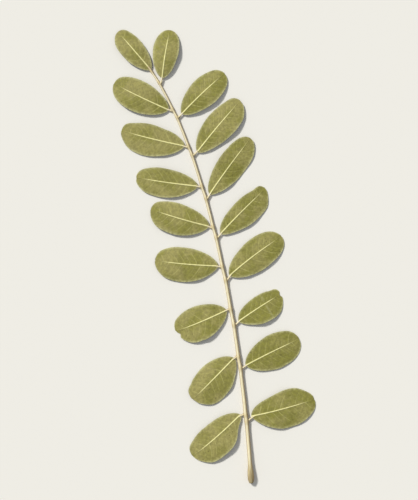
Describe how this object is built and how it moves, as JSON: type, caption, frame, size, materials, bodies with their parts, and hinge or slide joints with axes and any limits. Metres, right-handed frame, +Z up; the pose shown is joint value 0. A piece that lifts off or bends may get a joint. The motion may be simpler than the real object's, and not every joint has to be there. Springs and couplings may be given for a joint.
{
  "type": "pressed compound leaf",
  "caption": "Pressed, dried compound leaf with blunt oval leaflets in near pairs and one at the end, on a slightly curved stalk.",
  "frame": {"origin": "centre of the leaf's bounding box, at the height of the surface it rests on", "axes": "+Y from the stalk's foot towards the end leaflet, +Z up, away from the surface the leaf lies on"},
  "size_m": [0.092, 0.291, 0.0042],
  "materials": {
    "blade": "dry, matt, grey-olive",
    "stalk": "dry, satin, pale straw"
  },
  "bodies": {
    "root": {"leaf": "blade"}
  },
  "joints": []
}
